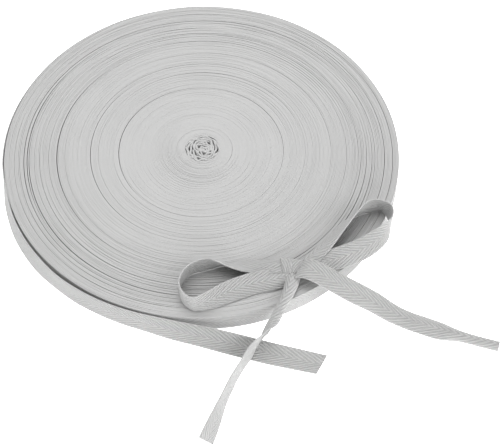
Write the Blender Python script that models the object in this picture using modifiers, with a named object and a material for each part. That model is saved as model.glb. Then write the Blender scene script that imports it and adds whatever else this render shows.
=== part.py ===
"""Flat roll of cotton webbing tape, tied with a bow of the same tape.

Metres, +Z up. The origin is the centre of the roll's flat underside. The roll lies flat,
its loose outer end leaves it at the front left and ends at the front right, and the bow
lies on the front right of its rim.
"""
import math

import bpy
from mathutils import Matrix, Vector

MM = 0.001

# Tape
TAPE_WIDTH = 10.0 * MM
TAPE_THICKNESS = 1.0 * MM

# Wound roll
ROLL_RADIUS = 94.9 * MM
RIM_SHIFT = 0.4 * MM
ROLL_HEIGHT = TAPE_WIDTH
RIM_ROUND = 0.6 * MM
GROOVE_HALF_WIDTH = 0.45 * MM
ROLL_STEPS = 76
CORE_SLOPE_RADIUS = 12.0 * MM

# The roll's main rings: radius and depth of the groove between two bands of turns, in mm.
RING_GROOVES = (
    {"radius": 40.5, "depth": 0.8},
    {"radius": 50.5, "depth": 0.5},
    {"radius": 55.6, "depth": 0.5},
    {"radius": 62.4, "depth": 0.4},
    {"radius": 70.8, "depth": 0.5},
    {"radius": 77.2, "depth": 0.4},
    {"radius": 83.6, "depth": 0.7},
    {"radius": 87.6, "depth": 0.4},
    {"radius": 92.0, "depth": 0.5},
)

# The crumpled start of the tape at the roll's centre: rings of the dimple, from inside out,
# with their radius and depth in mm, and the folds that stand in it.
CORE_RINGS = (
    {"radius": 1.6, "depth": 1.2},
    {"radius": 3.4, "depth": 1.6},
    {"radius": 5.2, "depth": 0.9},
    {"radius": 6.6, "depth": 0.6},
    {"radius": 8.2, "depth": 0.1},
)
CORE_FOLDS = (
    {"x": -3.6, "y": 3.0, "size": 2.6, "lift": -1.6},
    {"x": 3.8, "y": 0.6, "size": 2.2, "lift": -1.4},
    {"x": 0.4, "y": 1.0, "size": 2.4, "lift": 1.5},
    {"x": -1.4, "y": -4.2, "size": 2.0, "lift": -1.0},
)

# How many straight steps a ribbon takes between two rows of its table, and across its width
STEPS_PER_ROW = 3
STEPS_ACROSS = 6

# A strip that stands up leans less than this many degrees, and its curl fades out there.
UPRIGHT_LEAN = 20.0

# A ribbon's rows give, in mm and degrees, the place of its middle line seen from above, the
# height of its lowest edge, how far its upper edge leans to the right of its course, and how
# much its width is curled, as in the gathers beside the knot.
ROW_COLUMNS = ("x", "y", "low", "lean", "curl")

# The outer turn comes away from the rim at the left and runs out on the surface to its cut end.
LOOSE_END_ROWS = (
    (-95.1, -8.0, 0.3, 0, 0),
    (-94.4, -18.5, 0.3, 0, 0),
    (-91.6, -31.0, 0.2, 0, 0),
    (-86.4, -44.2, 0.1, 0, 0),
    (-78.4, -57.6, 0.1, 0, 0),
    (-68.5, -69.4, 0.1, -1, 0),
    (-57.0, -79.2, 0.1, -2, 0),
    (-45.0, -86.2, 0.1, -3, 0),
    (-33.2, -91.1, 0.1, -6, 0),
    (-21.4, -94.8, 0.1, -14, 0),
    (-9.4, -98.4, 0.1, -26, 0),
    (3.6, -101.0, 0.1, -40, 0),
    (19.8, -105.0, 0.1, -58, 0),
    (37.6, -109.3, 0.1, -74, 0),
    (56.0, -113.2, 0.1, -85, 0),
)

# The bow's left loop: out along its back strand, round, and back along its front strand.
LEFT_LOOP_ROWS = (
    (43.0, -70.2, 10.9, -62, 90),
    (36.0, -69.6, 10.6, -60, 50),
    (28.0, -69.4, 10.4, -55, 20),
    (15.0, -69.3, 10.4, -30, 0),
    (4.0, -69.5, 10.4, 0, 0),
    (-3.5, -72.5, 10.4, 0, 0),
    (-7.4, -78.8, 10.4, 0, 0),
    (-7.1, -85.5, 10.4, 0, 0),
    (-2.0, -91.0, 10.4, -4, 0),
    (5.5, -89.6, 10.4, -22, 0),
    (15.0, -84.8, 10.4, -38, 0),
    (25.0, -79.4, 10.4, -46, 20),
    (34.0, -75.8, 10.5, -50, 60),
    (42.0, -72.8, 10.9, -56, 110),
)

# The bow's right loop, in the same order.
RIGHT_LOOP_ROWS = (
    (46.0, -70.5, 10.9, 50, 90),
    (51.5, -64.5, 10.5, 50, 40),
    (58.4, -57.0, 10.4, 50, 10),
    (67.5, -46.0, 10.4, 38, 0),
    (74.5, -39.6, 10.4, 15, 0),
    (79.5, -36.6, 10.4, 0, 0),
    (85.4, -36.4, 10.4, 0, 0),
    (90.0, -40.0, 10.4, 0, 0),
    (90.2, -45.6, 10.4, 8, 0),
    (86.8, -51.5, 10.4, 25, 0),
    (81.3, -56.0, 10.4, 42, 0),
    (74.0, -60.4, 10.4, 53, 10),
    (66.0, -64.4, 10.4, 58, 30),
    (58.0, -67.8, 10.5, 58, 60),
    (50.0, -71.0, 10.9, 56, 90),
)

# The bow's left tail: over the rim and the loose end, then along the surface.
LEFT_TAIL_ROWS = (
    (43.6, -71.0, 11.4, 82, 80),
    (42.3, -77.0, 12.2, 76, 95),
    (40.0, -83.4, 12.3, 62, 110),
    (36.3, -90.2, 11.4, 40, 110),
    (32.9, -96.2, 8.0, 2, 10),
    (30.4, -101.6, 6.4, -15, 0),
    (26.0, -107.6, 4.2, -4, 0),
    (21.4, -114.4, 1.6, -3, 0),
    (16.9, -122.0, 0.2, 0, 0),
    (13.0, -131.0, 0.1, 8, 0),
    (9.6, -141.0, 0.1, 20, 0),
    (5.4, -152.8, 0.1, 28, 0),
)

# The bow's right tail: over the rim, down to the surface, and folded narrow at its end.
RIGHT_TAIL_ROWS = (
    (46.0, -70.0, 13.0, -84, 40),
    (52.2, -72.4, 13.4, -80, 10),
    (58.6, -75.6, 12.6, -76, 0),
    (65.0, -79.0, 9.8, -68, 0),
    (71.8, -82.4, 5.8, -48, 0),
    (79.0, -85.5, 2.2, -27, 10),
    (86.8, -88.8, 0.4, -13, 20),
    (94.8, -91.6, 0.1, -6, 10),
    (103.0, -94.4, 0.1, -6, 10),
    (111.0, -97.4, 0.1, -18, 80),
    (118.6, -99.6, 0.1, -40, 170),
    (126.2, -101.8, 0.1, -52, 220),
    (133.4, -103.8, 0.1, -58, 230),
)

# The knot: sections across the bow's length, each with its half depth and half height in mm.
KNOT_CENTRE = (43.6, -71.2)
KNOT_LOW = 10.4
KNOT_TURN = -6.0
KNOT_SECTIONS = (
    {"along": -5.6, "half_depth": 3.4, "half_height": 2.2},
    {"along": -4.8, "half_depth": 4.6, "half_height": 2.9},
    {"along": -1.5, "half_depth": 5.0, "half_height": 3.3},
    {"along": 2.2, "half_depth": 4.8, "half_height": 3.2},
    {"along": 4.6, "half_depth": 4.2, "half_height": 2.7},
    {"along": 5.8, "half_depth": 2.8, "half_height": 1.8},
)
KNOT_SIDES = 20

COTTON_COLOUR = (0.56, 0.56, 0.55, 1.0)
COTTON_ROUGHNESS = 0.9


def clear_scene():
    """Remove everything that the new file starts with."""
    for old in list(bpy.data.objects):
        bpy.data.objects.remove(old, do_unlink=True)


def collection(name):
    """Make a collection in the scene."""
    made = bpy.data.collections.new(name)
    bpy.context.scene.collection.children.link(made)
    return made


def cotton(name):
    """Plain off-white cotton for one piece."""
    material = bpy.data.materials.new(name)
    material.use_nodes = True
    shader = material.node_tree.nodes["Principled BSDF"]
    shader.inputs["Base Color"].default_value = COTTON_COLOUR
    shader.inputs["Roughness"].default_value = COTTON_ROUGHNESS
    shader.inputs["Metallic"].default_value = 0.0
    return material


def mesh_object(name, points, faces, home):
    """Put a mesh in the given collection."""
    mesh = bpy.data.meshes.new(name)
    mesh.from_pydata([tuple(point) for point in points], [], faces)
    mesh.update()
    made = bpy.data.objects.new(name, mesh)
    home.objects.link(made)
    return made


def roll_profile():
    """Half of the roll's section from the middle of its top, over the rim, to its underside."""
    profile = [(ring["radius"] * MM, ROLL_HEIGHT - ring["depth"] * MM) for ring in CORE_RINGS]
    profile.append((CORE_SLOPE_RADIUS, ROLL_HEIGHT))
    for groove in RING_GROOVES:
        radius = groove["radius"] * MM
        profile.append((radius - GROOVE_HALF_WIDTH, ROLL_HEIGHT))
        profile.append((radius, ROLL_HEIGHT - groove["depth"] * MM))
        profile.append((radius + GROOVE_HALF_WIDTH, ROLL_HEIGHT))
    profile.append((ROLL_RADIUS - RIM_ROUND, ROLL_HEIGHT))
    profile.append((ROLL_RADIUS, ROLL_HEIGHT - RIM_ROUND))
    profile.append((ROLL_RADIUS, RIM_ROUND))
    profile.append((ROLL_RADIUS - RIM_ROUND, 0.0))
    return profile


def fold_lift(x, y):
    """Height that the crumpled folds at the roll's centre add at a place."""
    lift = 0.0
    for fold in CORE_FOLDS:
        away = math.hypot(x / MM - fold["x"], y / MM - fold["y"]) / fold["size"]
        lift += fold["lift"] * MM * math.exp(-away * away)
    return lift


def make_roll(home):
    """Turn the roll's section, close it at its axis and crumple its centre."""
    profile = roll_profile()
    points = []
    for radius, height in profile:
        for step in range(ROLL_STEPS):
            angle = 2.0 * math.pi * step / ROLL_STEPS
            x = radius * math.cos(angle) + RIM_SHIFT * radius / ROLL_RADIUS
            y = radius * math.sin(angle)
            inner = radius <= CORE_SLOPE_RADIUS
            points.append((x, y, height + (fold_lift(x, y) if inner else 0.0)))
    faces = []
    for ring in range(len(profile) - 1):
        for step in range(ROLL_STEPS):
            after = (step + 1) % ROLL_STEPS
            a = ring * ROLL_STEPS + step
            b = ring * ROLL_STEPS + after
            faces.append((a, a + ROLL_STEPS, b + ROLL_STEPS, b))
    top_middle = len(points)
    points.append((0.0, 0.0, profile[0][1] + fold_lift(0.0, 0.0)))
    under_middle = len(points)
    points.append((0.0, 0.0, 0.0))
    last = (len(profile) - 1) * ROLL_STEPS
    for step in range(ROLL_STEPS):
        after = (step + 1) % ROLL_STEPS
        faces.append((top_middle, step, after))
        faces.append((under_middle, last + after, last + step))
    roll = mesh_object("roll", points, faces, home)
    roll.data.materials.append(cotton("roll_cotton"))
    return roll


def between(rows, place):
    """Read a ribbon's columns at a place along it, on a smooth curve through its rows."""
    span = min(int(place), len(rows) - 2)
    u = place - span
    before = rows[max(span - 1, 0)]
    start = rows[span]
    end = rows[span + 1]
    after = rows[min(span + 2, len(rows) - 1)]
    values = []
    for p, q, r, s in zip(before, start, end, after):
        curve = 2 * q + (r - p) * u + (2 * p - 5 * q + 4 * r - s) * u ** 2
        curve += (3 * q - p - 3 * r + s) * u ** 3
        values.append(0.5 * curve)
    return dict(zip(ROW_COLUMNS, values))


def section(lean, curl):
    """A ribbon's section about its middle: distance to the right and height, in metres."""
    bend = max(math.radians(abs(curl)), 1e-3)
    radius = TAPE_WIDTH / bend
    tilt = math.radians(lean)
    side = max(-1.0, min(1.0, lean / UPRIGHT_LEAN))
    points = []
    for step in range(STEPS_ACROSS + 1):
        angle = bend * (step / STEPS_ACROSS - 0.5)
        up = radius * math.sin(angle)
        out = side * radius * (1.0 - math.cos(angle))
        right = up * math.sin(tilt) - out * math.cos(tilt)
        height = up * math.cos(tilt) + out * math.sin(tilt)
        points.append((right, height))
    return points


def ribbon(name, rows, home):
    """A tape that follows its rows: an open strip that Solidify gives its thickness."""
    stations = (len(rows) - 1) * STEPS_PER_ROW
    samples = [between(rows, k / STEPS_PER_ROW) for k in range(stations + 1)]
    middles = []
    sections = []
    for sample in samples:
        shape = section(sample["lean"], sample["curl"])
        flatness = max(abs(math.sin(math.radians(sample["lean"]))), min(sample["curl"] / 90.0, 1.0))
        edge = 0.5 * TAPE_THICKNESS * flatness
        rise = sample["low"] * MM + edge - min(height for right, height in shape)
        middles.append(Vector((sample["x"] * MM, sample["y"] * MM, rise)))
        sections.append(shape)
    points = []
    for k, middle in enumerate(middles):
        course = middles[min(k + 1, stations)] - middles[max(k - 1, 0)]
        course.z = 0.0
        course.normalize()
        to_right = Vector((course.y, -course.x, 0.0))
        for right, height in sections[k]:
            points.append(middle + to_right * right + Vector((0.0, 0.0, height)))
    across = STEPS_ACROSS + 1
    faces = []
    for k in range(stations):
        for j in range(STEPS_ACROSS):
            a = k * across + j
            faces.append((a, a + across, a + across + 1, a + 1))
    strip = mesh_object(name, points, faces, home)
    thick = strip.modifiers.new("thickness", "SOLIDIFY")
    thick.thickness = TAPE_THICKNESS
    thick.offset = 0.0
    return strip


def knot(name, home):
    """The knot's wrapped body, lofted through its sections."""
    points = []
    middle_height = KNOT_LOW * MM + max(part["half_height"] for part in KNOT_SECTIONS) * MM
    for part in KNOT_SECTIONS:
        for side in range(KNOT_SIDES):
            angle = 2.0 * math.pi * side / KNOT_SIDES
            points.append((
                part["along"] * MM,
                part["half_depth"] * MM * math.cos(angle),
                part["half_height"] * MM * math.sin(angle),
            ))
    faces = []
    for ring in range(len(KNOT_SECTIONS) - 1):
        for side in range(KNOT_SIDES):
            after = (side + 1) % KNOT_SIDES
            a = ring * KNOT_SIDES + side
            b = ring * KNOT_SIDES + after
            faces.append((a, b, b + KNOT_SIDES, a + KNOT_SIDES))
    faces.append(tuple(reversed(range(KNOT_SIDES))))
    last = (len(KNOT_SECTIONS) - 1) * KNOT_SIDES
    faces.append(tuple(range(last, last + KNOT_SIDES)))
    body = mesh_object(name, points, faces, home)
    place = Vector((KNOT_CENTRE[0] * MM, KNOT_CENTRE[1] * MM, middle_height))
    turn = Matrix.Rotation(math.radians(KNOT_TURN), 4, "Z")
    body.data.transform(Matrix.Translation(place) @ turn)
    return body


def make_bow(home, helpers):
    """Join the two loops and the two tails to the knot."""
    bow = knot("bow", home)
    strands = {
        "bow_left_loop": LEFT_LOOP_ROWS,
        "bow_right_loop": RIGHT_LOOP_ROWS,
        "bow_left_tail": LEFT_TAIL_ROWS,
        "bow_right_tail": RIGHT_TAIL_ROWS,
    }
    for name, rows in strands.items():
        strand = ribbon(name, rows, helpers)
        strand.hide_render = True
        strand.display_type = "WIRE"
        join = bow.modifiers.new(name, "BOOLEAN")
        join.operation = "UNION"
        join.solver = "EXACT"
        join.use_self = True
        join.object = strand
    bow.data.materials.append(cotton("bow_cotton"))
    return bow


def main():
    clear_scene()
    pieces = collection("cotton_webbing_roll")
    helpers = collection("bow_strands")
    make_roll(pieces)
    loose_end = ribbon("loose_end", LOOSE_END_ROWS, pieces)
    loose_end.data.materials.append(cotton("loose_end_cotton"))
    make_bow(pieces, helpers)
    for piece in pieces.objects:
        piece.data.shade_smooth()
        piece.data.set_sharp_from_angle(angle=math.radians(40.0))


main()
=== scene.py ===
# %% [markdown]
# # A roll of cotton webbing tape, tied with a bow
# The object is about 46 metres of narrow herringbone tape, wound flat on itself. Its outer end
# has come loose and lies on the table, and a shorter length of the same tape is tied in a bow
# on the rim. Everything is one kind of tape, so the lesson makes one good tape and then winds
# it, lays it and ties it.

# %% Load the CAD model
import math

import bpy
import numpy as np
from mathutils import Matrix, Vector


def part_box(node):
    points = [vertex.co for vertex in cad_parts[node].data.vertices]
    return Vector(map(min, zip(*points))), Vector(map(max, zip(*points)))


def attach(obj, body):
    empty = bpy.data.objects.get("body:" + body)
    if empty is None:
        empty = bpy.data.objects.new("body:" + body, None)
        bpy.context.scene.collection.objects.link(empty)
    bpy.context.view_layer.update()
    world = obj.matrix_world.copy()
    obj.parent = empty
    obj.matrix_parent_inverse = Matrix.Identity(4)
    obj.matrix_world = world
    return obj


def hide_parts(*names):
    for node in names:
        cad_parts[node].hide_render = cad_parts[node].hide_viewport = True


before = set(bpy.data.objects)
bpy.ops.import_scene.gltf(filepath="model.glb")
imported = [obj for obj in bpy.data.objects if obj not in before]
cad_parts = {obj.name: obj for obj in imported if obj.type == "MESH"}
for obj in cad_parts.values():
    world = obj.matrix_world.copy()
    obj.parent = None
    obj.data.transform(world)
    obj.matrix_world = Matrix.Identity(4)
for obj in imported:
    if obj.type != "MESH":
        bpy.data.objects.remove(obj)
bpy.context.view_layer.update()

MM = 0.001
roll_low, roll_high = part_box("roll")
print("Roll", roll_low, roll_high)

# %% [markdown]
# ## The camera
# The roll is seen from the front and from above, from less than a metre away. A camera is
# added at that place, tilted down, with a lens that is long enough to fill the frame.

# %% Camera
CAMERA_PLACE = (0.0236, -0.4474, 0.5749)
CAMERA_DOWN = 54.41
CAMERA_LENS = 108.0
SENSOR_WIDTH = 36.0

bpy.ops.object.camera_add(location=CAMERA_PLACE, rotation=(math.radians(90.0 - CAMERA_DOWN), 0, 0))
camera = bpy.context.object
camera.name = "camera"
camera.data.lens = CAMERA_LENS
camera.data.sensor_width = SENSOR_WIDTH
bpy.context.scene.camera = camera
print("Camera looks down by", CAMERA_DOWN, "degrees")

# %% [markdown]
# ## The floor and the light
# Goods like this are photographed on a white table in light from all round, so there is no
# hard shadow, only the soft darkness inside the loops and between the turns. The table top
# glows a little, one large lamp hangs overhead and somewhat behind the roll, a lower one
# stands in front and another at the right, and the world adds a pale glow from everywhere.

# %% Floor
FLOOR_SIZE = 6.0
FLOOR_TONE = 0.93
FLOOR_GLOW = 1.0
FLOOR_ROUGHNESS = 0.8
FLOOR_SPECULAR = 0.1

bpy.ops.mesh.primitive_plane_add(size=FLOOR_SIZE, location=(0, 0, 0))
floor = bpy.context.object
floor.name = "floor"
floor_paint = bpy.data.materials.new("white_table")
floor_paint.use_nodes = True
floor_shader = floor_paint.node_tree.nodes["Principled BSDF"]
floor_shader.inputs["Base Color"].default_value = (FLOOR_TONE, FLOOR_TONE, FLOOR_TONE, 1)
floor_shader.inputs["Roughness"].default_value = FLOOR_ROUGHNESS
floor_shader.inputs["Specular IOR Level"].default_value = FLOOR_SPECULAR
floor_shader.inputs["Emission Color"].default_value = (1, 1, 1, 1)
floor_shader.inputs["Emission Strength"].default_value = FLOOR_GLOW
floor.data.materials.append(floor_paint)
print("Floor", FLOOR_SIZE, "m")

# %% Lights
WORLD_STRENGTH = 0.45
# Each lamp: its name, its place and width in metres and its power in watts.
LAMPS = (
    ("overhead_lamp", (-0.15, 0.35, 1.1), 1.0, 12.5),
    ("front_lamp", (0.1, -1.3, 0.4), 0.8, 8.0),
    ("right_lamp", (1.15, -0.55, 0.75), 0.8, 8.0),
)


def soft_lamp(name, place, size, power):
    """A square lamp that faces the middle of the roll."""
    bpy.ops.object.light_add(type="AREA", location=place)
    lamp = bpy.context.object
    lamp.name = name
    lamp.data.shape = "SQUARE"
    lamp.data.size = size
    lamp.data.energy = power
    x, y, z = place
    lamp.rotation_euler = (math.atan2(math.hypot(x, y), z), 0.0, math.atan2(x, -y))
    print(name, power, "W")


for lamp_facts in LAMPS:
    soft_lamp(*lamp_facts)
world = bpy.data.worlds.new("pale_room")
world.use_nodes = True
background = world.node_tree.nodes["Background"]
background.inputs["Color"].default_value = (1, 1, 1, 1)
background.inputs["Strength"].default_value = WORLD_STRENGTH
bpy.context.scene.world = world
bpy.context.scene.view_settings.view_transform = "Standard"

# %% [markdown]
# ## The weave
# Herringbone tape is a twill that turns round at its middle line, so its fine ribs make one
# V across the width, with the point towards the end of the tape. The pattern has to follow the
# tape round every bend, so it is drawn on the tape's own UV map: U is the length along the
# tape and V the place across it, both in millimetres. Real ribs could be modelled, but they
# are far thinner than the cloth, so painted shade, lighter on the ribs and darker between
# them, and a small bump are enough. Three node groups do the work: one for the ribs, one for
# the tape's edge and one for the soft unevenness of cotton.

# %% Helpers for node groups
def new_group(name, inputs, outputs):
    """An empty shader group with named sockets."""
    group = bpy.data.node_groups.new(name, "ShaderNodeTree")
    for socket, kind, value in inputs:
        made = group.interface.new_socket(socket, in_out="INPUT", socket_type=kind)
        if value is not None:
            made.default_value = value
    for socket in outputs:
        group.interface.new_socket(socket, in_out="OUTPUT", socket_type="NodeSocketFloat")
    return group, group.nodes.new("NodeGroupInput"), group.nodes.new("NodeGroupOutput")


def calculate(tree, operation, *values):
    """A Math node whose inputs are sockets or numbers."""
    node = tree.nodes.new("ShaderNodeMath")
    node.operation = operation
    for slot, value in enumerate(values):
        if isinstance(value, (int, float)):
            node.inputs[slot].default_value = value
        else:
            tree.links.new(value, node.inputs[slot])
    return node.outputs[0]


def wave(tree, place, length):
    """A smooth ripple from 0 to 1 with the given wavelength."""
    turns = calculate(tree, "DIVIDE", place, length)
    angle = calculate(tree, "MULTIPLY", turns, 2.0 * math.pi)
    return calculate(tree, "MULTIPLY_ADD", calculate(tree, "SINE", angle), 0.5, 0.5)


def noise(tree, vector, scale, detail):
    """Soft random values from 0 to 1."""
    node = tree.nodes.new("ShaderNodeTexNoise")
    node.inputs["Scale"].default_value = scale
    node.inputs["Detail"].default_value = detail
    tree.links.new(vector, node.inputs["Vector"])
    return node.outputs["Fac"]


# %% The herringbone group
# Lengths are in mm of tape and noise scales count per mm. Each rib wobbles along the tape, its
# top is broad, and it fades out between the two distances of PLAIN_EDGE from the middle line.
# COARSE and FINE say how much detail a noise has.
COARSE = 2.0
FINE = 3.0
RIB_SPACING = 3.0
RIB_SLANT = 2.35
RIB_WOBBLE = 0.7
RIB_WOBBLE_SCALE = 0.35
RIB_BROADNESS = 0.7
STITCH_LENGTH = 0.62
STITCH_HEIGHT = 0.22
FIBRE_SCALE = 2.6
FIBRE_HEIGHT = 0.35
FIBRE_SHADE = 0.6
PLAIN_EDGE = (4.95, 4.6)
PLAIN_SHADE = 0.7


def herringbone_group():
    """Ribs that slant back from the middle line, each a row of small stitches."""
    group, given, result = new_group(
        "herringbone_ribs",
        (
            ("Tape Place", "NodeSocketVector", None),
            ("Rib Spacing", "NodeSocketFloat", RIB_SPACING),
            ("Slant", "NodeSocketFloat", RIB_SLANT),
            ("Stitch", "NodeSocketFloat", STITCH_LENGTH),
        ),
        ("Height", "Shade"),
    )
    place = group.nodes.new("ShaderNodeSeparateXYZ")
    group.links.new(given.outputs["Tape Place"], place.inputs[0])
    wobble = noise(group, given.outputs["Tape Place"], RIB_WOBBLE_SCALE, COARSE)
    along = calculate(group, "MULTIPLY_ADD", wobble, RIB_WOBBLE, place.outputs["X"])
    side = calculate(group, "ABSOLUTE", place.outputs["Y"])
    slanted = calculate(group, "MULTIPLY_ADD", side, given.outputs["Slant"], along)
    rib = wave(group, slanted, given.outputs["Rib Spacing"])
    rounded = calculate(group, "POWER", rib, RIB_BROADNESS)
    stitch = wave(group, calculate(group, "SUBTRACT", along, side), given.outputs["Stitch"])
    fibre = noise(group, given.outputs["Tape Place"], FIBRE_SCALE, FINE)
    from_edge = group.nodes.new("ShaderNodeMapRange")
    from_edge.inputs["From Min"].default_value = PLAIN_EDGE[0]
    from_edge.inputs["From Max"].default_value = PLAIN_EDGE[1]
    group.links.new(side, from_edge.inputs["Value"])
    rounded = calculate(group, "MULTIPLY", rounded, from_edge.outputs["Result"])
    raised = calculate(group, "MULTIPLY_ADD", stitch, STITCH_HEIGHT, rounded)
    height = calculate(group, "MULTIPLY_ADD", fibre, FIBRE_HEIGHT, raised)
    group.links.new(height, result.inputs["Height"])
    # Shade is painted shade of the ribs, lighter on their tops and darker between them, with random tone
    # from the fibres.
    plain = calculate(group, "SUBTRACT", 1.0, from_edge.outputs["Result"])
    even = calculate(group, "MULTIPLY_ADD", plain, PLAIN_SHADE, rounded)
    shade = calculate(group, "MULTIPLY_ADD", fibre, FIBRE_SHADE, even)
    group.links.new(shade, result.inputs["Shade"])
    print("Group", group.name)
    return group


herringbone = herringbone_group()


# %% The group for the edge of the tape
EDGE_STITCH_SCALE = 1.1


def selvedge_group():
    """Short uneven stitches where the crossing yarn turns back."""
    group, given, result = new_group(
        "selvedge_stitches", (("Tape Place", "NodeSocketVector", None),), ("Height", "Shade"))
    stitch = noise(group, given.outputs["Tape Place"], EDGE_STITCH_SCALE, COARSE)
    group.links.new(stitch, result.inputs["Height"])
    group.links.new(stitch, result.inputs["Shade"])
    print("Group", group.name)
    return group


selvedge = selvedge_group()


# %% The group for cotton's unevenness
# The clouds' scale counts per metre of the roll, the turns' scale per mm of tape.
CLOUD_SCALE = 60.0
TURN_TONE_SCALE = 0.006


def uneven_group():
    """Cloudy tone over the whole piece and slow changes along the tape."""
    group, given, result = new_group(
        "uneven_cotton",
        (
            ("Object Place", "NodeSocketVector", None),
            ("Tape Place", "NodeSocketVector", None),
        ),
        ("Cloud", "Turn Tone"),
    )
    cloud = noise(group, given.outputs["Object Place"], CLOUD_SCALE, FINE)
    group.links.new(cloud, result.inputs["Cloud"])
    slow = noise(group, given.outputs["Tape Place"], TURN_TONE_SCALE, COARSE)
    group.links.new(slow, result.inputs["Turn Tone"])
    print("Group", group.name)
    return group


uneven = uneven_group()


# %% [markdown]
# ## Two materials
# The face of the tape shows the herringbone. The wound turns show only their edges, where the
# crossing yarn loops back, so that material has short stitches and its tone changes slowly
# from turn to turn. Cotton is matt with a little sheen from its loose fibres, and a single
# thin layer of it lets some light through.

# %% The cotton materials
# MEAN_SHADE and MEAN_NOISE are about the mean values of the ribs and of the noises. They are
# taken off, so that a stronger contrast leaves the mean tone as it is. LIGHT_REACH is in metres.
# The face tone is the same cotton as the edge tone, painted darker with shade: it stands in for the
# shade between the ribs and holds back the stronger light that falls on the tape's face.
SHADED_FACE_TONE = 0.375
EDGE_TONE = 0.44
COTTON_ROUGHNESS = 0.92
COTTON_SHEEN = 0.15
COTTON_SPECULAR = 0.2
BLUE_SHARE = 0.995
LIGHT_REACH = 0.001
MEAN_SHADE = 0.65
MEAN_NOISE = 0.5


def cotton(name, weave, base, rib_contrast, turn_contrast, cloud_contrast, bump, through_light):
    """Off-white cotton; the contrasts say how much each effect changes its tone."""
    material = bpy.data.materials.new(name)
    material.use_nodes = True
    tree = material.node_tree
    shader = tree.nodes["Principled BSDF"]
    coordinates = tree.nodes.new("ShaderNodeTexCoord")
    ribs = tree.nodes.new("ShaderNodeGroup")
    ribs.node_tree = weave
    clouds = tree.nodes.new("ShaderNodeGroup")
    clouds.node_tree = uneven
    tree.links.new(coordinates.outputs["UV"], ribs.inputs["Tape Place"])
    tree.links.new(coordinates.outputs["UV"], clouds.inputs["Tape Place"])
    tree.links.new(coordinates.outputs["Object"], clouds.inputs["Object Place"])
    tone = 1.0 - MEAN_SHADE * rib_contrast - MEAN_NOISE * turn_contrast - MEAN_NOISE * cloud_contrast
    tone *= base
    # With the herringbone, the ribs' share of the tone is painted shade; the turn tone and the clouds
    # are random changes in the cotton's own tone.
    for source, contrast in (
        (ribs.outputs["Shade"], rib_contrast),
        (clouds.outputs["Turn Tone"], turn_contrast),
        (clouds.outputs["Cloud"], cloud_contrast),
    ):
        tone = calculate(tree, "MULTIPLY_ADD", source, contrast * base, tone)
    mix = tree.nodes.new("ShaderNodeCombineColor")
    tree.links.new(tone, mix.inputs[0])
    tree.links.new(tone, mix.inputs[1])
    tree.links.new(calculate(tree, "MULTIPLY", tone, BLUE_SHARE), mix.inputs[2])
    tree.links.new(mix.outputs[0], shader.inputs["Base Color"])
    shader.inputs["Roughness"].default_value = COTTON_ROUGHNESS
    shader.inputs["Sheen Weight"].default_value = COTTON_SHEEN
    shader.inputs["Subsurface Weight"].default_value = through_light
    shader.inputs["Subsurface Radius"].default_value = (1.0, 1.0, 1.0)
    shader.inputs["Subsurface Scale"].default_value = LIGHT_REACH
    shader.inputs["Specular IOR Level"].default_value = COTTON_SPECULAR
    relief = tree.nodes.new("ShaderNodeBump")
    relief.inputs["Distance"].default_value = bump
    relief.inputs["Strength"].default_value = 1.0
    tree.links.new(ribs.outputs["Height"], relief.inputs["Height"])
    tree.links.new(relief.outputs[0], shader.inputs["Normal"])
    print("Material", name)
    return material


face_cotton = cotton(
    "herringbone_cotton", herringbone, SHADED_FACE_TONE,
    rib_contrast=0.28, turn_contrast=0.04, cloud_contrast=0.06, bump=0.0003, through_light=0.6)
edge_cotton = cotton(
    "wound_edge_cotton", selvedge, EDGE_TONE,
    rib_contrast=0.06, turn_contrast=0.12, cloud_contrast=0.06, bump=0.00006, through_light=0.0)

# %% [markdown]
# ## One tape
# A flat strap is modelled directly. A grid is added with as many steps as the tape needs, its
# UV map is laid out in millimetres of tape, and its points are moved to where the tape lies.
# Solidify then gives it the thickness of the cloth, a little less at the two edges, which
# rounds them.

# %% Cut and lay a tape
TAPE_WIDTH = 10.0
TAPE_THICKNESS = 0.6
SELVEDGE_SHARE = 0.45
NEXT_ROW_SHARE = 0.8
SMOOTH_ANGLE = math.radians(75.0)


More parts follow.
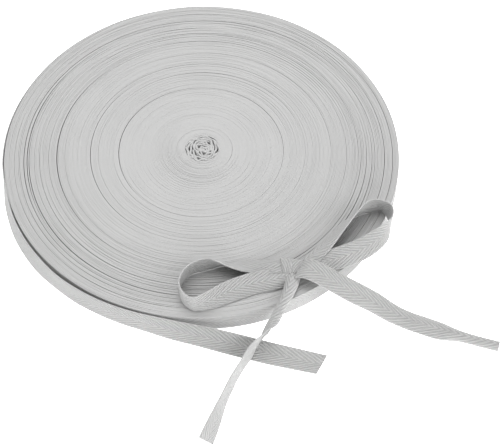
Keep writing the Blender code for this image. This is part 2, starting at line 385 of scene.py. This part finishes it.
def lay_tape(
        name, points, across, first_length=0.0, thickness=TAPE_THICKNESS, edge=SELVEDGE_SHARE, flow=1.0):
    """A tape through points[station, row], in mm, with rows at the distances in across.

    edge is the share of the thickness that is left at the selvedges, and flow turns the
    ribs' point round.
    """
    stations, rows = points.shape[:2]
    bpy.ops.object.select_all(action="DESELECT")
    bpy.ops.mesh.primitive_grid_add(x_subdivisions=stations - 1, y_subdivisions=rows - 1, size=1)
    tape = bpy.context.object
    tape.name = name
    mesh = tape.data
    mesh.name = name
    flat = np.empty(len(mesh.vertices) * 3)
    mesh.vertices.foreach_get("co", flat)
    flat = flat.reshape(-1, 3) + 0.5
    station = np.rint(flat[:, 0] * (stations - 1)).astype(int)
    row = np.rint(flat[:, 1] * (rows - 1)).astype(int)
    mesh.vertices.foreach_set("co", (points[station, row] * MM).ravel())
    middle = points[:, rows // 2]
    steps = np.linalg.norm(np.diff(middle, axis=0), axis=1)
    length = first_length + np.concatenate([[0.0], np.cumsum(steps)])
    corner = np.empty(len(mesh.loops), dtype=int)
    mesh.loops.foreach_get("vertex_index", corner)
    uv = np.stack([flow * length[station[corner]], np.asarray(across)[row[corner]]], axis=1)
    mesh.uv_layers.active.data.foreach_set("uv", uv.ravel())
    body = tape.vertex_groups.new(name="cloth")
    near_edge = np.minimum(row, rows - 1 - row)
    for distance, share in enumerate((edge, NEXT_ROW_SHARE)):
        body.add(np.flatnonzero(near_edge == distance).tolist(), share, "REPLACE")
    body.add(np.flatnonzero(near_edge > 1).tolist(), 1.0, "REPLACE")
    mesh.update()
    solid = tape.modifiers.new("thickness", "SOLIDIFY")
    solid.thickness = thickness * MM
    solid.offset = 0.0
    solid.vertex_group = "cloth"
    solid.thickness_vertex_group = 0.0
    bpy.ops.object.modifier_apply(modifier=solid.name)
    bpy.ops.object.shade_smooth_by_angle(angle=SMOOTH_ANGLE)
    print(name, round(length[-1] - first_length, 1), "mm,", 2 * len(mesh.polygons), "triangles")
    return tape, (length[-1] - first_length) * MM


def through(rows, steps):
    """A smooth curve through the rows of a table, column by column."""
    rows = np.array(rows, dtype=float)
    padded = np.vstack([rows[:1], rows, rows[-1:]])
    u = np.linspace(0.0, 1.0, steps, endpoint=False)[:, None]
    parts = []
    for p, q, r, s in zip(padded, padded[1:], padded[2:], padded[3:]):
        bend = 2 * q + (r - p) * u + (2 * p - 5 * q + 4 * r - s) * u ** 2
        parts.append(0.5 * (bend + (3 * q - p - 3 * r + s) * u ** 3))
    return np.vstack(parts + [rows[-1:]])


def wander(length, size, waves, seed):
    """A slow random drift along a tape: a sum of sines with wavelengths in mm."""
    draw = np.random.default_rng(seed)
    drift = np.zeros_like(length)
    for wavelength in waves:
        drift += np.sin(2.0 * math.pi * (length / wavelength + draw.random()))
    return size * drift / math.sqrt(0.5 * len(waves))


# %% [markdown]
# ## The wound turns
# A disc with rings drawn on it would look like a roll from far away, but its gaps would have
# no depth. So the roll is wound for real: one spiral of tape standing on its edge, 150 turns
# from the middle to the rim. Each turn is pulled tighter or looser and stands a little higher
# or lower than the next, and where the winding was stopped and started a wider gap shows as a
# dark ring. The first turns were folded double and bunched between the fingers, so they are
# crumpled and leave small dark holes. On the table the feet of the turns are pressed together,
# so every gap closes below. The spiral is cut into five lengths to keep each mesh light, and
# the last one is the outer turn, whose face shows the weave all round the rim.

# %% Sizes of the winding
# Lengths are in mm, and the first ten turns are the crumpled start further down.
TURNS = 140
FIRST_RADIUS = 8.2
START_TURNS = 10
START_RADIUS = 0.5
RIM_RADIUS = 94.7
RIM_SHIFT = 0.4
CORE_CENTRE = (1.2, 1.5)
CORE_REACH = 26.0
LAST_ANGLE = math.radians(184.8)
STATION_STEP = 2.6
LEAST_STATIONS = 72
WOUND_THICKNESS = 0.62
LOOSENING = 0.5
LOOSENING_TURNS = 0.16
WOUND_ROWS = np.array([-5.0, -4.86, -4.5, 4.5, 4.86, 5.0])

# Each main ring: radius and widest gap in mm, the share of the gap that goes all the way round,
# and the side in degrees on which it is widest.
MAIN_RINGS = (
    (12.8, 0.12, 0.2, 90.0),
    (15.2, 0.14, 0.2, 0.0),
    (16.8, 0.14, 0.2, 275.0),
    (19.6, 0.10, 0.2, 265.0),
    (40.4, 0.32, 0.2, 165.0),
    (40.4, 0.20, 0.1, 60.0),
    (43.4, 0.14, 0.2, 235.0),
    (46.2, 0.12, 0.1, 85.0),
    (50.6, 0.22, 0.3, 80.0),
    (52.0, 0.14, 0.1, 100.0),
    (54.4, 0.28, 0.2, 175.0),
    (56.0, 0.20, 0.2, 95.0),
    (63.0, 0.24, 0.1, 55.0),
    (66.5, 0.14, 0.1, 230.0),
    (70.4, 0.34, 0.3, 185.0),
    (71.6, 0.20, 0.1, 90.0),
    (73.8, 0.20, 0.1, 228.0),
    (76.4, 0.26, 0.2, 65.0),
    (78.4, 0.22, 0.2, 232.0),
    (77.4, 0.24, 0.0, 322.0),
    (79.6, 0.30, 0.0, 318.0),
    (82.2, 0.30, 0.0, 316.0),
    (81.0, 0.18, 0.1, 240.0),
    (83.6, 0.50, 0.3, 195.0),
    (85.0, 0.30, 0.2, 175.0),
    (85.2, 0.24, 0.1, 70.0),
    (86.8, 0.24, 0.1, 236.0),
    (87.8, 0.26, 0.2, 5.0),
    (89.4, 0.20, 0.1, 242.0),
    (91.8, 0.26, 0.2, 20.0),
)

# Small gaps lie between all the other turns. The tape is wound evenly inside the first of the
# three ZONES radii and less and less evenly towards the last one.
SMALL_GAP = 0.13
SMALL_GAP_SHARE = 0.15
SMALL_GAP_REACH = (17.0, 93.5)
SMALL_GAP_SEED = 21
ZONES = (40.4, 68.0, 74.0)
ZONE_GAPS = (0.3, 0.5, 1.0)
RING_RAMP = 0.25

# Each hole of the crumpled middle: radius and width in mm, then its direction and half its
# spread in degrees, seen from the middle.
CORE_HOLES = (
    (5.1, 1.70, 167.0, 17.0), (5.2, 1.00, 138.0, 20.0), (6.6, 0.80, 180.0, 9.0),
    (2.2, 1.30, 153.0, 24.0), (2.9, 0.90, 121.0, 16.0), (3.9, 0.70, 206.0, 12.0),
    (5.5, 0.80, 207.0, 8.0), (6.9, 0.80, 214.0, 7.0), (2.9, 1.40, 268.0, 34.0),
    (4.3, 1.00, 314.0, 11.0), (3.4, 0.70, 326.0, 13.0), (6.0, 1.50, 355.0, 14.0),
    (5.3, 1.80, 252.0, 11.0), (6.8, 0.80, 76.0, 4.0), (6.0, 0.50, 100.0, 8.0),
    (5.9, 0.50, 39.0, 8.0), (3.9, 0.60, 77.0, 9.0), (4.4, 0.50, 45.0, 8.0),
)

# Each wave of the crumple: its share of the height CRUMPLE, how many there are round a turn,
# how fast it twists with the radius, its start and the radius by which it is fully grown.
CRUMPLE_WAVES = (
    (0.60, 2, 0.45, 0.4, 0.5),
    (0.30, 3, -0.7, 2.0, 0.5),
    (0.15, 4, 1.5, 1.0, 3.0),
    (0.08, 7, -2.3, 0.0, 4.0),
)
CRUMPLE = 1.1
CRUMPLE_REACH = 10.5
PUSHED_OUT = 0.6
PUSHED_IN = 0.5
OUT_FADE = 2.4
IN_FADE = 1.2
TURN_WAVES = (41.0, 67.0, 113.0, 179.0, 293.0, 467.0, 811.0)


# %% The spiral's path
def smooth_step(value):
    """0 below 0, 1 above 1 and an even ramp between."""
    value = np.clip(value, 0.0, 1.0)
    return value * value * (3.0 - 2.0 * value)


def winding(first_radius, last_radius, count):
    """Turn, angle and undisturbed radius of each station along the spiral."""
    pitch = (last_radius - first_radius) / count
    turns = [0.0]
    while turns[-1] < count:
        radius = first_radius + pitch * turns[-1]
        step = min(STATION_STEP / (2.0 * math.pi * radius), 1.0 / LEAST_STATIONS)
        turns.append(min(turns[-1] + step, count))
    turns = np.array(turns)
    angle = LAST_ANGLE + 2.0 * math.pi * (turns - count)
    return turns, angle, first_radius + pitch * turns, pitch


def beyond(radius, ring, pitch):
    """0 for the turns inside a ring, 1 for those outside it."""
    return smooth_step((radius - ring) / (RING_RAMP * pitch) + 0.5)


def with_gaps(radius, angle, pitch):
    """Open the rings and draw the rest together so that the rim stays where it is."""
    draw = np.random.default_rng(SMALL_GAP_SEED)
    rings = list(MAIN_RINGS)
    for ring in np.arange(*SMALL_GAP_REACH, pitch):
        size = SMALL_GAP * draw.random() ** 3 * np.interp(ring, ZONES, ZONE_GAPS)
        rings.append((ring, size, SMALL_GAP_SHARE, 360.0 * draw.random()))
    opened = radius.copy()
    for ring, widest, share, side in rings:
        lobe = np.maximum(np.cos(angle - math.radians(side)), 0.0) ** 2
        gap = widest * (share + (1.0 - share) * lobe)
        opened += gap * (beyond(radius, ring, pitch) - radius / RIM_RADIUS)
    return opened


def crumpled(radius, angle, pitch):
    """Bend the first turns and push them apart round each hole."""
    waves = np.zeros_like(radius)
    for share, lobes, twist, start, grown in CRUMPLE_WAVES:
        wave_height = share * np.cos(lobes * angle + twist * radius + start)
        waves += wave_height * smooth_step(radius / grown)
    bent = radius + CRUMPLE * smooth_step(1.0 - radius / CRUMPLE_REACH) * waves
    for ring, width, side, spread in CORE_HOLES:
        away = (angle - math.radians(side) + math.pi) % (2.0 * math.pi) - math.pi
        gap = width * np.exp(-(away / math.radians(spread)) ** 2)
        outside = beyond(radius, ring, pitch)
        bent += PUSHED_OUT * gap * outside * np.exp(-np.abs(radius - ring) / OUT_FADE)
        bent -= PUSHED_IN * gap * (1.0 - outside) * np.exp(-np.abs(radius - ring) / IN_FADE)
    return bent


def placed(radius, angle, even_radius):
    """The spiral seen from above: its middle lies off the roll's middle, as in the photo."""
    inward = smooth_step(1.0 - even_radius / CORE_REACH)
    x = radius * np.cos(angle) + CORE_CENTRE[0] * inward + RIM_SHIFT * even_radius / RIM_RADIUS
    y = radius * np.sin(angle) + CORE_CENTRE[1] * inward
    return x, y, np.concatenate([[0.0], np.cumsum(np.hypot(np.diff(x), np.diff(y)))])


turns, angle, even_radius, pitch = winding(FIRST_RADIUS, RIM_RADIUS, TURNS)
radius = with_gaps(even_radius, angle, pitch) + crumpled(even_radius, angle, pitch) - even_radius
loosened = LOOSENING * smooth_step((turns - TURNS) / LOOSENING_TURNS + 1.0)
path_x, path_y, tape_length = placed(radius + loosened, angle, even_radius)
foot_x, foot_y, _ = placed(even_radius + loosened, angle, even_radius)
print("Pitch", round(pitch, 3), "mm, tape", round(tape_length[-1] / 1000.0, 1), "m")


# %% Wind the tape
WOUND_LENGTHS = 4
OUTER_TURNS = 1.0
EDGE_SHARES = (0.95, 0.92, 0.88, 0.86, 0.8)
TOP_UNEVEN = 0.10
INNER_UNEVEN = 0.04
BAND_STEP = 0.11
BAND_SLOPE = 0.8
BAND_FADE = 5.0
BAND_RINGS = MAIN_RINGS[4:]
BAND_SEED = 50
TOP_SEED = 7
FOOT_SEED = 8
TUCKED_IN = 1.2
TUCK_LENGTH = 5.0


def edge_heights(seed):
    """How much one edge of the standing tape is above or below its even height."""
    rough = np.interp(even_radius, ZONES, (INNER_UNEVEN, 0.5 * TOP_UNEVEN, TOP_UNEVEN))
    drift = rough * wander(tape_length, 1.0, TURN_WAVES, seed)
    draw = np.random.default_rng(seed + BAND_SEED)
    for ring, _, _, _ in BAND_RINGS:
        step = BAND_STEP * draw.uniform(-1.0, 1.0) * np.tanh(BAND_SLOPE * (even_radius - ring))
        drift += step * np.exp(-np.abs(even_radius - ring) / BAND_FADE)
    return drift


tucked = TUCKED_IN * smooth_step(1.0 - tape_length / TUCK_LENGTH)
top_drift = edge_heights(TOP_SEED) - tucked
under_drift = np.abs(edge_heights(FOOT_SEED))
wound = []
inner_end = int(np.searchsorted(turns, TURNS - OUTER_TURNS))
cuts = [*np.linspace(0, inner_end, WOUND_LENGTHS + 1).astype(int), len(turns) - 1]
for number, (start, end, edge) in enumerate(zip(cuts, cuts[1:], EDGE_SHARES), start=1):
    part = slice(start, end + 1)
    points = np.empty((end + 1 - start, len(WOUND_ROWS), 3))
    points[:, 3:, 0] = path_x[part, None]
    points[:, 3:, 1] = path_y[part, None]
    points[:, :3, 0] = foot_x[part, None]
    points[:, :3, 1] = foot_y[part, None]
    points[:, :, 2] = 0.5 * TAPE_WIDTH + WOUND_ROWS[None, :]
    points[:, 3:, 2] += top_drift[part, None]
    points[:, :3, 2] += under_drift[part, None]
    piece, _ = lay_tape(
        f"wound_tape_{number}", points, WOUND_ROWS, tape_length[start], WOUND_THICKNESS, edge)
    piece.data.materials.append(edge_cotton if number <= WOUND_LENGTHS else face_cotton)
    wound.append(piece)

# %% [markdown]
# ## The crumpled start
# A roll is begun by hand: the end of the tape is doubled and wound round itself, thick and
# bunched, until it holds. It is the same spiral, but with fewer and thicker turns that lean
# and dip, so that it looks pinched together and not wound by machine.

# %% Wind the start
START_THICKNESS = 1.0
START_EDGE = 0.75
START_UNEVEN = 0.3
START_UNEVEN_WAVES = (5.0, 8.3, 13.0)
START_UNEVEN_SEED = 32
START_LEAN = 0.3
START_LEAN_WAVES = (7.0, 12.0, 19.0)
START_LEAN_SEED = 31
START_SINK = 0.1

_, start_angle, start_even, start_pitch = winding(START_RADIUS, FIRST_RADIUS, START_TURNS)
start_radius = crumpled(start_even, start_angle, start_pitch)
start_x, start_y, start_length = placed(start_radius, start_angle, start_even)
points = np.empty((len(start_x), len(WOUND_ROWS), 3))
lean = START_LEAN * wander(start_length, 1.0, START_LEAN_WAVES, START_LEAN_SEED)
lean = lean[:, None] * (WOUND_ROWS > 0.0)
points[:, :, 0] = start_x[:, None] + lean * np.cos(start_angle)[:, None]
points[:, :, 1] = start_y[:, None] + lean * np.sin(start_angle)[:, None]
points[:, :, 2] = 0.5 * TAPE_WIDTH + WOUND_ROWS[None, :]
uneven_top = START_UNEVEN * wander(start_length, 1.0, START_UNEVEN_WAVES, START_UNEVEN_SEED)
uneven_top -= START_SINK
uneven_top -= TUCKED_IN * smooth_step((start_length - start_length[-1]) / TUCK_LENGTH + 1.0)
points[:, 3:, 2] += uneven_top[:, None]
points[:, :3, 2] += START_UNEVEN
piece, _ = lay_tape("crumpled_start", points, WOUND_ROWS, 0.0, START_THICKNESS, START_EDGE)
piece.data.materials.append(edge_cotton)
wound.append(piece)

# %% [markdown]
# ## Tapes that lie and hang
# The loose end and the bow's loops and tails are the same tape, bent and twisted but never
# stretched. A cloth simulation would let them fall anywhere, and these have to lie as in the
# photo, so they are placed one by one. Each is a table with a row for each bend: the place of its
# middle line seen from above, the height of its lowest edge, how far its upper edge leans to
# the right of its course and how much its width is curled, in mm and degrees. A negative curl
# turns the edges down. Near the knot the cloth is squeezed, so gathers are added there.

# %% Turn a table into a tape
LAY_STEPS = 14
LAY_ACROSS = np.concatenate([[-5.0, -4.85, -4.5], np.linspace(-4.0, 4.0, 17), [4.5, 4.85, 5.0]])
UPRIGHT_LEAN = 20.0
FLAT_CURL = 90.0
LEAST_BEND = 0.001
GATHER_FADE = 9.0
GATHER_RATES = (2.2, 1.3)
GATHER_SECOND = 0.6
GATHER_DRIFT = 0.7
LEAN_UNREST = 2.0
UNREST_WAVES = (23.0, 37.0, 61.0)


def laid_points(rows, gather_start=0.0, gather_end=0.0, unrest=1.0, seed=1, slant=0.0):
    """Points of a tape that follows its rows, in mm; slant is how far the cut end leans."""
    table = through(rows, LAY_STEPS)
    x, y, low, lean, curl = table.T
    steps = np.hypot(np.diff(x), np.diff(y))
    length = np.concatenate([[0.0], np.cumsum(steps)])
    lean = lean + wander(length, LEAN_UNREST * unrest, UNREST_WAVES, seed)
    tilt = np.radians(lean)[:, None]
    side = (np.clip(lean / UPRIGHT_LEAN, -1.0, 1.0) * np.where(curl < 0.0, -1.0, 1.0))[:, None]
    bend = np.maximum(np.radians(np.abs(curl)), LEAST_BEND)[:, None]
    around = bend * LAY_ACROSS[None, :] / TAPE_WIDTH
    up = TAPE_WIDTH / bend * np.sin(around)
    out = side * TAPE_WIDTH / bend * (1.0 - np.cos(around))
    squeeze = gather_start * np.exp(-length / GATHER_FADE)
    squeeze += gather_end * np.exp(-(length[-1] - length) / GATHER_FADE)
    folds = np.sin(GATHER_RATES[0] * LAY_ACROSS + GATHER_DRIFT * seed)
    folds += GATHER_SECOND * np.sin(GATHER_RATES[1] * LAY_ACROSS + seed)
    out = out + squeeze[:, None] * folds[None, :]
    right = up * np.sin(tilt) - out * np.cos(tilt)
    height = up * np.cos(tilt) + out * np.sin(tilt)
    flatness = np.maximum(np.abs(np.sin(tilt[:, 0])), np.minimum(np.abs(curl) / FLAT_CURL, 1.0))
    rise = low + 0.5 * TAPE_THICKNESS * flatness - height.min(axis=1)
    course = np.stack([np.gradient(x), np.gradient(y)], axis=1)
    course /= np.linalg.norm(course, axis=1)[:, None]
    points = np.empty((len(x), len(LAY_ACROSS), 3))
    points[:, :, 0] = x[:, None] + course[:, 1:2] * right
    points[:, :, 1] = y[:, None] - course[:, 0:1] * right
    points[:, :, 2] = rise[:, None] + height
    for row, across in enumerate(LAY_ACROSS):
        kept = length * (1.0 + (slant * across / TAPE_WIDTH - 0.5 * abs(slant)) / length[-1])
        for axis in range(3):
            points[:, row, axis] = np.interp(kept, length, points[:, row, axis])
    return points


# %% [markdown]
# ## The loose end
# The outer end has sprung away from the rim. It goes on from the last turn, stands close to
# the rim at first, and then leans further and further out until it lies flat on the table.

# %% The loose end
CUT_SLANT = 3.0
LOOSE_END_ROWS = (
    (-94.5, -7.9, 0.2, -1, 0),
    (-93.1, -18.4, 0.2, -6, 0),
    (-90.3, -30.8, 0.1, -12, 0),
    (-85.6, -43.8, 0.1, -13, 0),
    (-77.8, -57.2, 0.1, -12, 0),
    (-67.9, -68.9, 0.1, -9, 0),
    (-56.4, -78.6, 0.1, -9, 0),
    (-44.6, -85.7, 0.1, -10, 0),
    (-33.1, -90.8, 0.1, -12, 0),
    (-21.4, -94.6, 0.1, -17, 0),
    (-9.4, -98.0, 0.1, -28, 0),
    (3.6, -101.0, 0.1, -42, 0),
    (19.8, -105.0, 0.1, -58, 0),
    (37.6, -109.3, 0.1, -74, 0),
    (56.8, -113.4, 0.1, -85, 0),
)
loose_points = laid_points(LOOSE_END_ROWS, unrest=0.4, seed=3, slant=CUT_SLANT)
loose_end, loose_length = lay_tape("loose_tape_end", loose_points, LAY_ACROSS, tape_length[-1])
loose_end.data.materials.append(face_cotton)

# %% [markdown]
# ## The bow
# A bow is one cut length: tail, loop, knot, loop, tail. Each stretch that shows is made as a
# tape of its own, which ends inside the knot. The two loops stand on edge on the roll, the left
# tail drops over the rim and crosses the loose end, and the right tail runs out over the table
# with its end curled narrow.

# %% The bow's loops and tails
LEFT_LOOP_ROWS = (
    (42.0, -68.4, 11.2, -82, -150),
    (36.0, -68.8, 11.6, -74, -90),
    (27.0, -69.2, 11.2, -72, -30),
    (15.0, -69.4, 10.4, -48, 0),
    (4.0, -69.5, 10.4, 0, 0),
    (-3.5, -72.5, 10.4, 0, 0),
    (-7.4, -78.8, 10.4, 0, 0),
    (-7.1, -85.5, 10.4, 0, 0),
    (-2.0, -90.6, 10.4, -4, 0),
    (5.5, -88.6, 10.4, -24, 0),
    (15.0, -83.0, 10.4, -43, 0),
    (25.0, -78.8, 10.2, -54, -20),
    (34.0, -76.6, 10.2, -62, -70),
    (41.0, -74.4, 10.6, -78, -150),
)
RIGHT_LOOP_ROWS = (
    (46.4, -68.8, 11.0, 84, -170),
    (49.8, -66.2, 11.2, 68, -150),
    (55.8, -59.6, 10.6, 56, -80),
    (67.0, -46.4, 10.4, 38, 0),
    (74.0, -40.0, 10.4, 15, 0),
    (79.3, -37.0, 10.4, 0, 0),
    (84.6, -36.8, 10.2, 0, 0),
    (88.2, -40.2, 9.8, -12, 0),
    (88.4, -46.0, 9.8, -2, 0),
    (85.4, -51.8, 10.2, 25, 0),
    (80.6, -56.0, 10.4, 42, 0),
    (74.0, -60.2, 10.4, 53, 0),
    (66.0, -64.0, 10.4, 58, -20),
    (58.0, -67.0, 10.6, 62, -60),
    (51.0, -69.6, 11.0, 72, -120),
    (46.6, -71.0, 11.0, 82, -160),
)
LEFT_TAIL_ROWS = (
    (42.6, -71.6, 11.0, -84, -150),
    (42.0, -77.0, 10.9, -80, -190),
    (40.0, -83.4, 10.7, -76, -240),
    (37.4, -88.6, 10.2, -66, -290),
    (34.6, -93.0, 8.6, -48, -290),
    (31.9, -96.9, 7.0, -28, -220),
    (30.0, -100.4, 5.4, -18, -130),
    (28.4, -103.8, 3.9, -16, -40),
    (26.0, -107.0, 2.4, -6, 0),
    (23.4, -110.4, 1.0, 4, 0),
    (20.4, -115.4, 0.5, 4, 0),
    (16.6, -122.6, 0.2, 4, 0),
    (13.0, -131.0, 0.1, 6, 0),
    (9.2, -141.4, 0.1, 22, 0),
    (4.4, -154.0, 0.1, 34, 0),
)
RIGHT_TAIL_ROWS = (
    (45.8, -72.2, 14.0, -84, -30),
    (47.2, -72.9, 16.0, -84, -30),
    (50.0, -74.0, 16.9, -82, -20),
    (54.6, -75.8, 16.3, -80, 0),
    (59.6, -78.0, 14.4, -76, 0),
    (65.4, -79.8, 10.6, -66, 0),
    (71.8, -81.6, 6.0, -60, -30),
    (79.0, -84.0, 2.4, -62, -80),
    (86.8, -87.6, 0.6, -72, -110),
    (94.8, -91.0, 0.1, -80, -115),
    (103.0, -94.0, 0.1, -82, -100),
    (108.6, -96.0, 0.1, -84, -110),
    (113.6, -98.2, 0.1, -84, -200),
    (119.6, -100.4, 0.1, -84, -280),
    (134.0, -104.7, 0.1, -84, -290),
)
left_loop_points = laid_points(LEFT_LOOP_ROWS, gather_start=0.25, gather_end=0.3, seed=4)
right_loop_points = laid_points(RIGHT_LOOP_ROWS, gather_start=0.25, gather_end=0.25, seed=5)
left_tail_points = laid_points(LEFT_TAIL_ROWS, gather_start=0.2, seed=6, slant=CUT_SLANT)
right_tail_points = laid_points(RIGHT_TAIL_ROWS, gather_start=0.1, seed=9)
bow_lengths = {}
for name, points, flow in (
    ("bow_left_loop", left_loop_points, -1.0),
    ("bow_right_loop", right_loop_points, -1.0),
    ("bow_left_tail", left_tail_points, 1.0),
    ("bow_right_tail", right_tail_points, 1.0),
):
    strand, strand_length = lay_tape(name, points, LAY_ACROSS, flow=flow)
    strand.data.materials.append(face_cotton)
    bow_lengths[strand] = strand_length

# %% [markdown]
# ## The knot
# The middle of the bow is wrapped once by the tape. A real knot's inside never shows, so only
# the wrap is made: a short band whose width lies along the bow, so that its ribs run over the
# knot from back to front. It is pinched at its waist and rippled by the strands inside it.

# %% The band round the knot
KNOT_MIDDLE = (42.4, -70.2, 13.6)
KNOT_TURN = math.radians(-6.0)
KNOT_DEPTH = 4.1
KNOT_HEIGHT = 2.6
BAND_SPREAD = 0.95
BAND_FLARE = 0.28
BAND_SHIFT = 0.5
BAND_STATIONS = 90
WAIST = 0.05
RIPPLE = 0.16
RIPPLE_RATE = 2.4
RIPPLE_START = 0.6

around = np.linspace(0.0, 2.0 * math.pi, BAND_STATIONS)
waist = 1.0 - WAIST * (LAY_ACROSS / (0.5 * TAPE_WIDTH)) ** 2
ripple = RIPPLE * np.sin(RIPPLE_RATE * LAY_ACROSS)[None, :] * np.cos(around + RIPPLE_START)[:, None]
depth = (KNOT_DEPTH + ripple) * waist[None, :] * np.cos(around)[:, None]
rise = (KNOT_HEIGHT + ripple) * waist[None, :] * np.sin(around)[:, None]
spread = BAND_SPREAD + BAND_FLARE * np.cos(around)[:, None]
along = spread * LAY_ACROSS[None, :] + BAND_SHIFT * np.cos(around)[:, None]
points = np.empty((BAND_STATIONS, len(LAY_ACROSS), 3))
points[:, :, 0] = KNOT_MIDDLE[0] + along * math.cos(KNOT_TURN) - depth * math.sin(KNOT_TURN)
points[:, :, 1] = KNOT_MIDDLE[1] + along * math.sin(KNOT_TURN) + depth * math.cos(KNOT_TURN)
points[:, :, 2] = KNOT_MIDDLE[2] + rise
knot_band, band_length = lay_tape("bow_knot_band", points, LAY_ACROSS)
knot_band.data.materials.append(face_cotton)
bow_lengths[knot_band] = band_length

# %% [markdown]
# ## Stand in for the CAD solids
# Each piece hides the CAD solid it stands for and rides on the root body, and the length of tape
# in the bow is printed.

# %% Roles
for piece in wound:
    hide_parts("roll")
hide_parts("loose_end")
for piece in bow_lengths:
    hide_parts("bow")
for piece in wound + [loose_end, *bow_lengths]:
    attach(piece, "root")
print("Bow tape", round(sum(bow_lengths.values()) * 1000.0), "mm")
